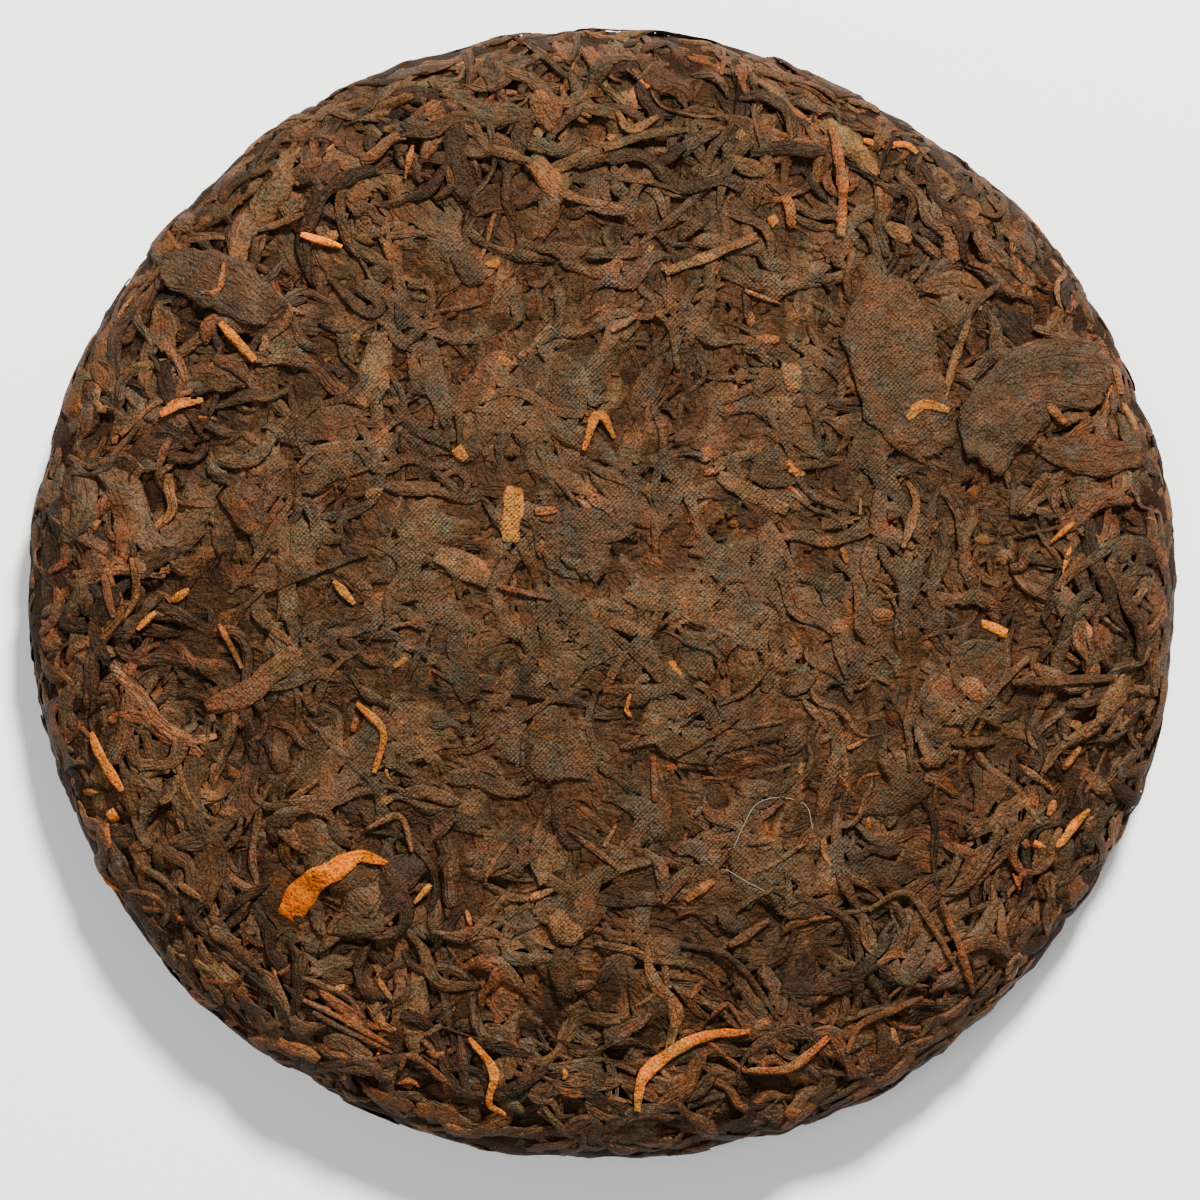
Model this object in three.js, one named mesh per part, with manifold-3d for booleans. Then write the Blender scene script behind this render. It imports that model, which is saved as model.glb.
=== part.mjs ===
// A pu erh tea cake: tea leaves steamed in a cloth bag and pressed into a thick disc.
// The upper face is a low dome and the rim is round. The underside is flat about a
// dimple, which the twisted neck of the bag leaves. Rolled and folded leaves stand a
// little proud all over: flat where the cloth pressed them, and fuller round the rim.
// Millimetres, +Z up, with the origin on the flat underside below the cake's middle.
import * as THREE from "three";
import { mergeVertices } from "three/addons/utils/BufferGeometryUtils.js";
import Module from "manifold-3d";

const wasm = await Module();
wasm.setup();

// Driving sizes of the cake
const RADIUS = 100.6;
const THICKNESS = 25;
const FACE_DROP = 3.2; // the dome falls this much from its middle to the shoulder
const SHOULDER_RADIUS = 82; // where the dome ends and the rim begins to round
const GIRTH_HEIGHT = 9.5; // height of the widest line above the underside
const FOOT_RADIUS = 86; // outer edge of the flat underside
const DIMPLE_MOUTH_RADIUS = 31;
const DIMPLE_FLOOR_RADIUS = 9;
const DIMPLE_DEPTH = 9;
const SHOULDER_FULLNESS = 2.3; // 2 is an ellipse's quarter, and more is squarer

// The outline seen from above is a little wider than deep, with a few flats and bulges.
const OVAL = 0.7; // added to the radius at the left and right, and taken off near and far
const OUTLINE_BULGES = [
  { angle: 10, spread: 14, height: 0.5 },
  { angle: 38, spread: 8, height: 0.4 },
  { angle: 57, spread: 10, height: -0.8 },
  { angle: 120, spread: 14, height: 0.7 },
  { angle: 222, spread: 9, height: 0.4 },
  { angle: 275, spread: 10, height: -0.3 },
  { angle: 300, spread: 9, height: 0.5 },
];

// The core under the leaves that show
const CORE_SINK = 0.7; // the core lies this far inside the cake's outer surface
const CORE_BUMP = 0.55; // height of its bumps, which are the size of crumpled leaves
const BUMP_SIZE = 9;
const FACE_RINGS = 11; // rings of points from the dome's middle to the shoulder
const RIM_RINGS = 5;
const FOOT_RINGS = 10;
const POINTS_PER_STEP = 5.6; // each ring has this many more points than the one inside it
const RIM_POINTS = 66;

// Leaves spread by rule. Lengths, widths and heights are of the part that shows.
const LEAF_SINK = 1.6; // each leaf's base is sunk this deep, so that it joins the core
const LEAF_SETS = {
  face: { count: 46, reach: 88, length: [12, 26], width: [3, 6.5], height: [0.5, 0.85] },
  rim: { count: 34, low: 92, high: 114, length: [14, 26], width: [2.4, 4], height: [0.3, 0.8] },
  underside: { count: 26, reach: 92, length: [12, 26], width: [3, 6.5], height: [0.5, 0.8] },
};
const GOLDEN_ANGLE = Math.PI * (3 - Math.sqrt(5));
const LEAF_STEPS = 3;
const SHOWN_LEAF_STEPS = 4;

// The leaves that stand out on the domed face, as centre lines seen from above
const SHOWN_LEAVES = [
  { name: "broad golden leaf", width: 4.4, path: [[-55, -56], [-52, -50], [-45, -45], [-38, -46.5]] },
  { name: "long golden bud", width: 2.2, path: [[7, -89], [6.5, -86], [11, -81], [18, -77.5], [26, -76]] },
  { name: "left golden tip", width: 2.4, path: [[-89, -24], [-87, -28], [-83.5, -34.5]] },
  { name: "brown roll on the left", width: 3.4, path: [[-69, -19], [-62, -17], [-55, -12], [-52, -9.5]] },
  { name: "red stick at the top", width: 1.9, path: [[8.5, 55], [18, 58.5], [27, 62]] },
  { name: "red stick at the upper right", width: 2, path: [[40, 82], [41.5, 75], [43, 62]] },
  { name: "tan stub at the upper left", width: 2.4, path: [[-66.5, 47.5], [-63.5, 44], [-61, 41.5]] },
  { name: "golden block in the middle", width: 3.8, path: [[-15.7, 18.6], [-15.7, 13.5], [-15.7, 8.8]] },
  { name: "wide fold on the right", width: 7, path: [[43, 48], [43, 38], [48, 30], [58, 22.5]] },
  { name: "dark fold at the right rim", width: 4.6, path: [[77, 25.5], [86, 25], [95, 23.8]] },
  { name: "golden stem at the bottom left", width: 1.8, path: [[-52, -70.5], [-43.5, -74.5], [-38, -78.5]] },
  { name: "golden hook on the left", width: 1.8, path: [[-43, -18.5], [-38.5, -24], [-37.5, -28], [-39, -30.5]] },
  { name: "red stem at the lower right", width: 1.8, path: [[61.5, -56], [63.5, -63], [65.5, -69]] },
  { name: "dark arc at the bottom", width: 1.9, path: [[14, -61.5], [23, -63.5], [29.5, -69], [31, -74.5]] },
  { name: "twisted fold at the top", width: 4, path: [[-11, 89], [-6.5, 92.5], [-2, 96]] },
];
const SHOWN_LEAF_HEIGHT = 0.95;
const TEA_BROWN = 0x5a3f29;

// The same stream of numbers from 0 to 1 in every run
function randomStream(seed) {
  let state = seed;
  return () => {
    state = (state + 0x6d2b79f5) | 0;
    let mixed = Math.imul(state ^ (state >>> 15), 1 | state);
    mixed = (mixed + Math.imul(mixed ^ (mixed >>> 7), 61 | mixed)) ^ mixed;
    return ((mixed ^ (mixed >>> 14)) >>> 0) / 2 ** 32;
  };
}

const between = ([low, high], share) => low + (high - low) * share;
const smoothStep = (t) => t * t * (3 - 2 * t);

// Height of the domed face above the underside, out to the shoulder
function domeHeight(radius) {
  return THICKNESS - FACE_DROP * (radius / SHOULDER_RADIUS) ** 2;
}

// One quarter of a rounded rim, from the flat side (share 0) to the girth (share 1)
function rimQuarter(share, innerRadius, flatHeight) {
  const angle = (share * Math.PI) / 2;
  const power = 2 / SHOULDER_FULLNESS;
  return new THREE.Vector2(
    innerRadius + (RADIUS - innerRadius) * Math.sin(angle) ** power,
    GIRTH_HEIGHT + (flatHeight - GIRTH_HEIGHT) * Math.cos(angle) ** power,
  );
}

// Height of the underside, which is raised only in the dimple
function footHeight(radius) {
  const share = (radius - DIMPLE_FLOOR_RADIUS) / (DIMPLE_MOUTH_RADIUS - DIMPLE_FLOOR_RADIUS);
  return DIMPLE_DEPTH * (1 - smoothStep(THREE.MathUtils.clamp(share, 0, 1)));
}

// Half of the cake's cross-section, from the middle of the dome over the rim to the dimple
function crossSection() {
  const points = [];
  const steps = 60;
  for (let i = 0; i < steps; i += 1) {
    const radius = (SHOULDER_RADIUS * i) / steps;
    points.push(new THREE.Vector2(radius, domeHeight(radius)));
  }
  for (let i = 0; i < steps; i += 1) {
    points.push(rimQuarter(i / steps, SHOULDER_RADIUS, domeHeight(SHOULDER_RADIUS)));
  }
  for (let i = steps; i > 0; i -= 1) points.push(rimQuarter(i / steps, FOOT_RADIUS, 0));
  for (let i = steps; i >= 0; i -= 1) {
    const radius = (FOOT_RADIUS * i) / steps;
    points.push(new THREE.Vector2(radius, footHeight(radius)));
  }
  return points;
}

// The cross-section measured by distance along it, from either end
class Section {
  constructor(points) {
    this.points = points;
    this.at = [0];
    for (let i = 1; i < points.length; i += 1) {
      this.at.push(this.at[i - 1] + points[i].distanceTo(points[i - 1]));
    }
    this.length = this.at[this.at.length - 1];
  }

  // The point at a distance along the section, with the direction that faces out of the cake
  sample(distance) {
    const along = THREE.MathUtils.clamp(distance, 0, this.length);
    let i = 1;
    while (i < this.at.length - 1 && this.at[i] < along) i += 1;
    const share = (along - this.at[i - 1]) / (this.at[i] - this.at[i - 1]);
    const from = this.points[i - 1];
    const to = this.points[i];
    const point = from.clone().lerp(to, share);
    const run = to.clone().sub(from).normalize();
    return { point, outward: new THREE.Vector2(-run.y, run.x) };
  }
}

// How much wider the outline is at an angle than the plain circle
function outlineOffset(angle) {
  const degrees = (THREE.MathUtils.radToDeg(angle) + 360) % 360;
  let offset = OVAL * Math.cos(2 * angle);
  for (const bulge of OUTLINE_BULGES) {
    const away = Math.abs(((degrees - bulge.angle + 540) % 360) - 180);
    offset += bulge.height * Math.exp(-((away / bulge.spread) ** 2));
  }
  return offset;
}

const section = new Section(crossSection());

// A point of the cake's skin. `distance` runs along the cross-section from the middle of the
// dome, `angle` round the cake, and `height` is how far the point stands off the skin.
function skin(distance, angle, height) {
  const { point, outward } = section.sample(distance);
  const stretch = 1 + outlineOffset(angle) / RADIUS;
  const radius = (point.x + outward.x * height) * stretch;
  return new THREE.Vector3(
    radius * Math.cos(angle),
    radius * Math.sin(angle),
    point.y + outward.y * height,
  );
}

// Smooth bumps of about BUMP_SIZE across, from -1 to 1
function bumps(point) {
  const cell = point.clone().divideScalar(BUMP_SIZE);
  const base = cell.clone().floor();
  const part = cell.sub(base);
  const cornerValue = (dx, dy, dz) => {
    const mixed = Math.sin((base.x + dx) * 127.1 + (base.y + dy) * 311.7 + (base.z + dz) * 74.7);
    return (mixed * 43758.5453) % 1;
  };
  let sum = 0;
  for (const dx of [0, 1]) {
    for (const dy of [0, 1]) {
      for (const dz of [0, 1]) {
        const weightX = dx ? smoothStep(part.x) : 1 - smoothStep(part.x);
        const weightY = dy ? smoothStep(part.y) : 1 - smoothStep(part.y);
        const weightZ = dz ? smoothStep(part.z) : 1 - smoothStep(part.z);
        sum += cornerValue(dx, dy, dz) * weightX * weightY * weightZ;
      }
    }
  }
  return sum;
}

// Distances along the cross-section at which the core has a ring of points
function ringDistances() {
  const shoulder = section.at[60];
  const foot = section.at[180];
  const rings = [];
  for (let i = 1; i <= FACE_RINGS; i += 1) rings.push((shoulder * i) / FACE_RINGS);
  for (let i = 1; i < RIM_RINGS; i += 1) {
    rings.push(shoulder + ((foot - shoulder) * i) / RIM_RINGS);
  }
  for (let i = 0; i < FOOT_RINGS; i += 1) {
    rings.push(foot + ((section.length - foot) * i) / FOOT_RINGS);
  }
  return rings;
}

// The triangles between two rings of points, which may have different numbers of points
function stitch(triangles, inner, outer) {
  let i = 0;
  let j = 0;
  while (i < inner.count || j < outer.count) {
    const a = inner.first + (i % inner.count);
    const b = outer.first + (j % outer.count);
    const innerIsBehind = (i + 1) / inner.count <= (j + 1) / outer.count;
    if (j >= outer.count || (i < inner.count && innerIsBehind)) {
      i += 1;
      triangles.push(a, b, inner.first + (i % inner.count));
    } else {
      j += 1;
      triangles.push(a, b, outer.first + (j % outer.count));
    }
  }
}

// The core: the whole cake a little inside its outer surface, with bumps
function coreGeometry() {
  const distances = ringDistances();
  const positions = [];
  const triangles = [];
  const addPoint = (distance, angle) => {
    const plain = skin(distance, angle, -CORE_SINK);
    const raised = skin(distance, angle, -CORE_SINK + CORE_BUMP * bumps(plain));
    positions.push(raised.x, raised.y, raised.z);
  };
  addPoint(0, 0);
  const rings = distances.map((distance, k) => {
    const fromEnd = distances.length - k;
    const steps = Math.min(k + 1, fromEnd * (FACE_RINGS / FOOT_RINGS));
    const count = Math.round(Math.min(RIM_POINTS, POINTS_PER_STEP * steps + 1));
    const ring = { first: positions.length / 3, count };
    for (let i = 0; i < count; i += 1) addPoint(distance, (2 * Math.PI * i) / count);
    return ring;
  });
  addPoint(section.length, 0);
  const lastPoint = positions.length / 3 - 1;
  const firstRing = rings[0];
  const lastRing = rings[rings.length - 1];
  for (let i = 0; i < firstRing.count; i += 1) {
    triangles.push(0, firstRing.first + i, firstRing.first + ((i + 1) % firstRing.count));
  }
  for (let k = 1; k < rings.length; k += 1) stitch(triangles, rings[k - 1], rings[k]);
  for (let i = 0; i < lastRing.count; i += 1) {
    triangles.push(lastRing.first + ((i + 1) % lastRing.count), lastRing.first + i, lastPoint);
  }
  return closedGeometry(positions, triangles);
}

function closedGeometry(positions, triangles) {
  const geometry = new THREE.BufferGeometry();
  geometry.setAttribute("position", new THREE.Float32BufferAttribute(positions, 3));
  geometry.setIndex(triangles);
  return geometry;
}

// A leaf lying on the skin along `line`, a list of {distance, angle} from its tip to its end.
// Its section is a low roof with a sunk base, and it narrows to both ends.
function leafGeometry(line, width, height) {
  const positions = [];
  const triangles = [];
  const last = line.length - 1;
  line.forEach((place, i) => {
    const before = line[Math.max(i - 1, 0)];
    const after = line[Math.min(i + 1, last)];
    const here = skin(place.distance, place.angle, 0);
    const run = skin(after.distance, after.angle, 0).sub(skin(before.distance, before.angle, 0));
    const up = skin(place.distance, place.angle, 1).sub(here).normalize();
    const side = up.clone().cross(run).normalize();
    const fullness = Math.sqrt(Math.sin(Math.PI * (0.06 + (0.88 * i) / last)));
    const half = (width * fullness) / 2;
    const crest = height * fullness;
    const corners = [
      [-half, -LEAF_SINK],
      [half, -LEAF_SINK],
      [half * 0.62, crest],
      [-half * 0.62, crest],
    ];
    for (const [across, rise] of corners) {
      const corner = here.clone().addScaledVector(side, across).addScaledVector(up, rise);
      positions.push(corner.x, corner.y, corner.z);
    }
  });
  const around = 4;
  for (let i = 0; i < last; i += 1) {
    for (let k = 0; k < around; k += 1) {
      const a = i * around + k;
      const b = i * around + ((k + 1) % around);
      triangles.push(a, b, a + around, b, b + around, a + around);
    }
  }
  const end = last * around;
  triangles.push(0, 2, 1, 0, 3, 2, end, end + 1, end + 2, end, end + 2, end + 3);
  return closedGeometry(positions, triangles);
}

// The centre line of a leaf of some length and bend, about a middle place on the skin.
// The skin is taken as unrolled into a flat disc about the middle of its face.
function bentLine(middle, heading, length, bend, steps) {
  const start = new THREE.Vector2(middle.distance, 0).rotateAround(new THREE.Vector2(), middle.angle);
  const line = [];
  for (let i = 0; i <= steps; i += 1) {
    const along = (i / steps - 0.5) * length;
    const place = new THREE.Vector2(along, (bend * along * along) / length);
    place.rotateAround(new THREE.Vector2(), middle.angle + heading).add(start);
    line.push({ distance: place.length(), angle: place.angle() });
  }
  return line;
}

// A line drawn on the domed face as seen from above, rounded through its points
function shownLine(path) {
  const curve = new THREE.CatmullRomCurve3(path.map(([x, y]) => new THREE.Vector3(x, y, 0)));
  return curve.getSpacedPoints(SHOWN_LEAF_STEPS).map((point) => {
    const angle = Math.atan2(point.y, point.x);
    const radius = Math.hypot(point.x, point.y) / (1 + outlineOffset(angle) / RADIUS);
    return { distance: distanceAtRadius(Math.min(radius, RADIUS - 1)), angle };
  });
}

// How far along the cross-section the upper surface reaches a radius
function distanceAtRadius(radius) {
  let i = 1;
  while (section.points[i].x < radius) i += 1;
  const share =
    (radius - section.points[i - 1].x) / (section.points[i].x - section.points[i - 1].x);
  return section.at[i - 1] + share * (section.at[i] - section.at[i - 1]);
}

// The place of leaf n of a set: evenly spread over a face, or in a band round the rim
function leafPlace(set, n, random) {
  const angle = n * GOLDEN_ANGLE;
  if (set.reach) {
    return { distance: set.reach * Math.sqrt((n + 0.5) / set.count), angle };
  }
  return { distance: between([set.low, set.high], random()), angle };
}

function spreadLeaves(set, fromUnderside, seed) {
  const random = randomStream(seed);
  const leaves = [];
  for (let n = 0; n < set.count; n += 1) {
    const middle = leafPlace(set, n, random);
    const length = between(set.length, random());
    const width = between(set.width, random() ** 1.5);
    const height = between(set.height, random());
    const nearRim = THREE.MathUtils.clamp(middle.distance / 100, 0, 1) ** 4;
    const freeHeading = random() * Math.PI;
    const heading = THREE.MathUtils.lerp(freeHeading, Math.PI / 2, nearRim * 0.75);
    const bend = (random() - 0.5) * 0.9;
    const line = bentLine(middle, heading, length, bend, LEAF_STEPS);
    if (fromUnderside) {
      line.reverse();
      for (const place of line) place.distance = section.length - place.distance;
    }
    leaves.push(leafGeometry(line, width, height));
  }
  return leaves;
}

function shownLeaves() {
  return SHOWN_LEAVES.map((leaf) =>
    leafGeometry(shownLine(leaf.path), leaf.width, SHOWN_LEAF_HEIGHT),
  );
}

function toSolid(geometry) {
  const bare = geometry.clone();
  bare.deleteAttribute("normal");
  bare.deleteAttribute("uv");
  const merged = mergeVertices(bare);
  return new wasm.Manifold(
    new wasm.Mesh({
      numProp: 3,
      vertProperties: new Float32Array(merged.attributes.position.array),
      triVerts: new Uint32Array(merged.index.array),
    }),
  );
}

function toGeometry(solid) {
  const mesh = solid.getMesh();
  return closedGeometry(Array.from(mesh.vertProperties), Array.from(mesh.triVerts));
}

// All that lies above the surface the cake rests on, which cuts the lowest leaves flat
function spaceAboveTheTable() {
  const box = new THREE.BoxGeometry(3 * RADIUS, 3 * RADIUS, 4 * THICKNESS);
  box.translate(0, 0, 2 * THICKNESS);
  return toSolid(box);
}

// The same solid with the middle of its outline over the origin
function centred(solid) {
  const { min, max } = solid.boundingBox();
  return solid.translate([-(min[0] + max[0]) / 2, -(min[1] + max[1]) / 2, 0]);
}

function teaCake() {
  const leaves = [
    ...spreadLeaves(LEAF_SETS.face, false, 11),
    ...spreadLeaves(LEAF_SETS.rim, false, 23),
    ...spreadLeaves(LEAF_SETS.underside, true, 37),
    ...shownLeaves(),
  ];
  let cake = toSolid(coreGeometry());
  for (const leaf of leaves) cake = cake.add(toSolid(leaf));
  cake = cake.intersect(spaceAboveTheTable());
  const whole = centred(cake.decompose().sort((a, b) => b.volume() - a.volume())[0]);
  const material = new THREE.MeshStandardMaterial({
    color: TEA_BROWN,
    roughness: 0.8,
    metalness: 0,
  });
  const mesh = new THREE.Mesh(toGeometry(whole), material);
  mesh.name = "tea_cake";
  return mesh;
}

const teaCakeGroup = new THREE.Group();
teaCakeGroup.add(teaCake());
export default teaCakeGroup;
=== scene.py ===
import math
from types import SimpleNamespace

import bpy
import numpy as np
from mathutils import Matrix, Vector


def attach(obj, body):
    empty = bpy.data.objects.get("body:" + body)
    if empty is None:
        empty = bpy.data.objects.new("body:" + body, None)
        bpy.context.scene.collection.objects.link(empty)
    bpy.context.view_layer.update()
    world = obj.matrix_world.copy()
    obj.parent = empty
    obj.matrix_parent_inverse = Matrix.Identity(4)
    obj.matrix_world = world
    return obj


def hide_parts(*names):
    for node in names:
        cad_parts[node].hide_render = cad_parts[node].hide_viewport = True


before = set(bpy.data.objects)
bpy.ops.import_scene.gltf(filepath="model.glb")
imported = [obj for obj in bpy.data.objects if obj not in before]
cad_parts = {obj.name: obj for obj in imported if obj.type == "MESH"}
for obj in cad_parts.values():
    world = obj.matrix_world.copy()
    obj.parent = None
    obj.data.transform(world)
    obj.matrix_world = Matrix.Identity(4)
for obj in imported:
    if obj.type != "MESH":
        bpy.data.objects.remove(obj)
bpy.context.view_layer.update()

# Sizes in millimetres, as in the solid. The meshes are scaled to metres when they are made.
MILLIMETRE = 0.001
RADIUS = 100.6
THICKNESS = 25.0
FACE_DROP = 3.2
SHOULDER_RADIUS = 82.0
GIRTH_HEIGHT = 9.5
FOOT_RADIUS = 86.0
DIMPLE_MOUTH_RADIUS = 31.0
DIMPLE_FLOOR_RADIUS = 9.0
DIMPLE_DEPTH = 9.0
SHOULDER_FULLNESS = 2.3
OVAL = 0.7  # how far the outline is stretched across and squeezed along
OUTLINE_BULGES = [
    (10, 14, 0.5), (38, 8, 0.4), (57, 10, -0.8), (120, 14, 0.7),
    (222, 9, 0.4), (275, 10, -0.3), (300, 9, 0.5),
]  # (angle, spread, height), in degrees and millimetres
SECTION_STEPS = 120  # of each curve of the section
SECTION_PLACES = 1600  # of the whole section
NORMAL_BLUR = 15  # places to each side that the section's direction is averaged over
LOWEST = 0.05  # the leaves under the cake end just above the table
LOWEST_EASE = 0.6  # those that would go through it are squeezed over about this height
EDGE_MARGIN = 0.3  # inside the outline, for the leaves that are placed from above

CELL = 0.25  # of the grids that hold the heights of the leaves laid so far
REACH = 121.0  # half the width of those grids
LINE_STEPS = 24  # between two of the places that a centre line is drawn through
STAMP_STEP = 0.2  # between the places where a leaf raises such a grid
BED_RELIEF, BED_LUMP = 0.25, 5.0  # the bed's own bumps: how high and how wide
PRESS_BLUR = 7.0  # the cloth levels the heap over about this distance
FACE_PRESSED_TO, FACE_LOOSE_FROM = 48, 92  # distances from the middle of the pressed part
FOOT_PRESSED_TO, FOOT_LOOSE_FROM = 66, 98
SHOULDER_FROM, SHOULDER_TO = 100, 112  # where the face turns into the girth, for the leaves
CORE_SHOULDER_FROM, CORE_SHOULDER_TO = 92, 105  # and for the dark core inside them
CREST_MIDDLE, CREST_RIM, CREST_GIRTH = 0.28, 1.0, 0.38  # how far leaves stand above the level
GAP_MIDDLE, GAP_RIM = 0.48, 1.8  # how deep the gaps between them go
SINK_MIDDLE, SINK_RIM = 0.35, 0.0  # how far the cloth is pressed below that level
SPARED_MIDDLE, SPARED_RIM = 0.02, 0.05  # the share of its height that a leaf keeps in any case
UNDER_SINK = 0.8  # the share of their crest by which the underside's leaves lie deeper
BURIED = 0.45  # a place this far below the top of the heap doesn't show
CORE_DEPTH_MIDDLE, CORE_DEPTH_RIM, CORE_DEPTH_GIRTH = 0.8, 1.7, -0.05
CORE_DEPTH_UNDER = 0.3  # added on the underside
CORE_RINGS, CORE_SECTORS = 140, 230
CORE_HOLE = 0.4  # the radius that its middle leaves open, under the leaves
PRESSED_OFF = 9.0  # the cloth pressed harder to one side of the face's middle
PRESSED_TOWARDS = math.radians(55)
HUE_DRIFT = (0.3, -0.1, -0.45)  # how much of each light comes and goes as the hue drifts
DEEPENING = np.array([0.9, 1.0, 1.3])  # how much more each light fades where a leaf is darker
DARK_BELOW = 0.036  # leaves whose red light is less count as dark
GREY_BELOW = 4.32  # others whose red light is less than this many times the blue count as grey
WEAVE_PITCH = 0.59
WEAVE_TURN = math.radians(43)
FIBRE_RADIUS = 0.036
FIBRE_STEPS, FIBRE_SIDES = 20, 5
FIBRE_LIFT = 0.12  # above the pressed leaves
UNDERSIDE_SHARE = 0.55  # of the number of leaves on the face

# In metres
VIEW_WIDTH = 0.20976  # what the camera sees at the height of the face
VIEW_MIDDLE = (-0.0003, -0.0008)
FACE_LEVEL = 0.022
LIT_PLACE = (0, 0, 0.01)
FLOOR_HALF_WIDTH = 3

LENS, SENSOR_WIDTH = 120, 36
WORLD_STRENGTH = 0.30

rng = np.random.default_rng(357)


# --- The cake's outer surface
def smooth_step(x, low=0.0, high=1.0):
    t = np.clip((x - low) / (high - low), 0, 1)
    return t * t * (3 - 2 * t)


def cross_section():
    """Half of the section, from the middle of the face round the rim to the dimple."""
    steps = SECTION_STEPS
    share = np.arange(steps) / steps
    turn = share * math.pi / 2
    power = 2 / SHOULDER_FULLNESS
    dome_r = SHOULDER_RADIUS * share
    dome_z = THICKNESS - FACE_DROP * share**2
    rim_top = THICKNESS - FACE_DROP
    upper_r = SHOULDER_RADIUS + (RADIUS - SHOULDER_RADIUS) * np.sin(turn) ** power
    upper_z = GIRTH_HEIGHT + (rim_top - GIRTH_HEIGHT) * np.cos(turn) ** power
    back = (np.arange(steps, 0, -1) / steps) * math.pi / 2
    lower_r = FOOT_RADIUS + (RADIUS - FOOT_RADIUS) * np.sin(back) ** power
    lower_z = GIRTH_HEIGHT * (1 - np.maximum(np.cos(back), 0) ** power)
    foot_r = FOOT_RADIUS * np.arange(steps, -1, -1) / steps
    rise = 1 - smooth_step(foot_r, DIMPLE_FLOOR_RADIUS, DIMPLE_MOUTH_RADIUS)
    r = np.concatenate([dome_r, upper_r, lower_r, foot_r])
    z = np.concatenate([dome_z, upper_z, lower_z, DIMPLE_DEPTH * rise])
    at = np.concatenate([[0], np.cumsum(np.hypot(np.diff(r), np.diff(z)))])
    even = np.linspace(0, at[-1], SECTION_PLACES)
    r, z = np.interp(even, at, r), np.interp(even, at, z)
    kernel = np.hanning(2 * NORMAL_BLUR + 1)
    kernel /= kernel.sum()
    run_r, run_z = (
        np.convolve(np.pad(np.gradient(line), NORMAL_BLUR, "edge"), kernel, "valid") for line in (r, z)
    )
    size = np.hypot(run_r, run_z)
    return SimpleNamespace(at=even, r=r, z=z, out_r=-run_z / size, out_z=run_r / size)


SECTION = cross_section()
SECTION_LENGTH = SECTION.at[-1]


def outline_offset(angle):
    """How far the outline lies outside a circle."""
    degrees = np.degrees(angle) % 360
    offset = OVAL * np.cos(2 * angle)
    for middle, spread, height in OUTLINE_BULGES:
        away = np.abs((degrees - middle + 540) % 360 - 180)
        offset = offset + height * np.exp(-((away / spread) ** 2))
    return offset


def skin(u, v, height, under):
    """Places on the cake from flat coordinates about the middle of a face, in metres."""
    distance = np.hypot(u, v)
    angle = np.arctan2(v, u)
    at = SECTION_LENGTH - distance if under else distance
    r = np.interp(at, SECTION.at, SECTION.r) + np.interp(at, SECTION.at, SECTION.out_r) * height
    z = np.interp(at, SECTION.at, SECTION.z) + np.interp(at, SECTION.at, SECTION.out_z) * height
    r = np.maximum(r, 0) * (1 + outline_offset(angle) / RADIUS)
    z = np.where(z < LOWEST, LOWEST * np.exp(np.minimum(z - LOWEST, 0) / LOWEST_EASE), z)
    return np.stack([r * np.cos(angle), r * np.sin(angle), z], -1) * MILLIMETRE


def face_distance(x, y):
    """Flat coordinates of a place on the domed face seen from above."""
    angle = np.arctan2(y, x)
    r = np.minimum(np.hypot(x, y) / (1 + outline_offset(angle) / RADIUS), RADIUS - EDGE_MARGIN)
    girth = int(np.argmax(SECTION.r))
    distance = np.interp(r, SECTION.r[:girth], SECTION.at[:girth])
    return distance * np.cos(angle), distance * np.sin(angle)


# --- Noise that repeats every NOISE_SIZE cells
NOISE_SIZE = 512
NOISE_LUMP = 3  # the width of its lumps, in cells
NOISE_SHIFT = 1000


def noise_tile():
    """Smooth noise of spread 1."""
    white = np.random.default_rng(1).standard_normal((NOISE_SIZE, NOISE_SIZE))
    f = np.fft.fftfreq(NOISE_SIZE)
    damp = np.exp(-((f[:, None] ** 2 + f[None] ** 2) * (math.pi * NOISE_LUMP) ** 2) / 2)
    tile = np.fft.ifft2(np.fft.fft2(white) * damp).real
    return (tile / tile.std()).astype(np.float32)


NOISE = noise_tile()


def crumple(u, v, lump):
    """Noise over flat coordinates with lumps about `lump` millimetres wide."""
    u = np.asarray(u) * (NOISE_LUMP / lump) + NOISE_SHIFT
    v = np.asarray(v) * (NOISE_LUMP / lump) + NOISE_SHIFT
    low_u, low_v = np.floor(u).astype(int), np.floor(v).astype(int)
    over_u, over_v = u - low_u, v - low_v
    iu, iv, next_u, next_v = (place % NOISE_SIZE for place in (low_u, low_v, low_u + 1, low_v + 1))
    near = NOISE[iu, iv] * (1 - over_u) + NOISE[next_u, iv] * over_u
    far = NOISE[iu, next_v] * (1 - over_u) + NOISE[next_u, next_v] * over_u
    return near * (1 - over_v) + far * over_v


def blurred(grid, width):
    """The grid blurred over `width` cells."""
    rows, columns = grid.shape
    fr, fc = np.fft.fftfreq(rows), np.fft.rfftfreq(columns)
    damp = np.exp(-2 * (math.pi * width) ** 2 * (fr[:, None] ** 2 + fc[None] ** 2))
    return np.fft.irfft2(np.fft.rfft2(grid) * damp, grid.shape)


# --- How single leaves are shaped
RAGGED_LUMP, NARROWEST = 1.8, 0.35  # a torn edge's bumps, and the least width that they leave
SWAY = 0.1  # how far a flat leaf's edges wander together, as a share of its width
ARCH = 0.22  # how far a flat leaf's middle stands above its edges
LEAF_RELIEF, LEAF_LUMP = 0.1, 1.6
FOLD_HEIGHTS = [-0.28, 0.28, 0.4]
TURN_LENGTH = 22  # a rolled leaf with a twist of 1 turns once in this length
GROOVE_APART, GROOVE_WIDTH = 2.5, 0.42  # of a rolled leaf's two grooves, in radians
LEAVES_APART = 90  # each leaf has its own slice of the textures


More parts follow.
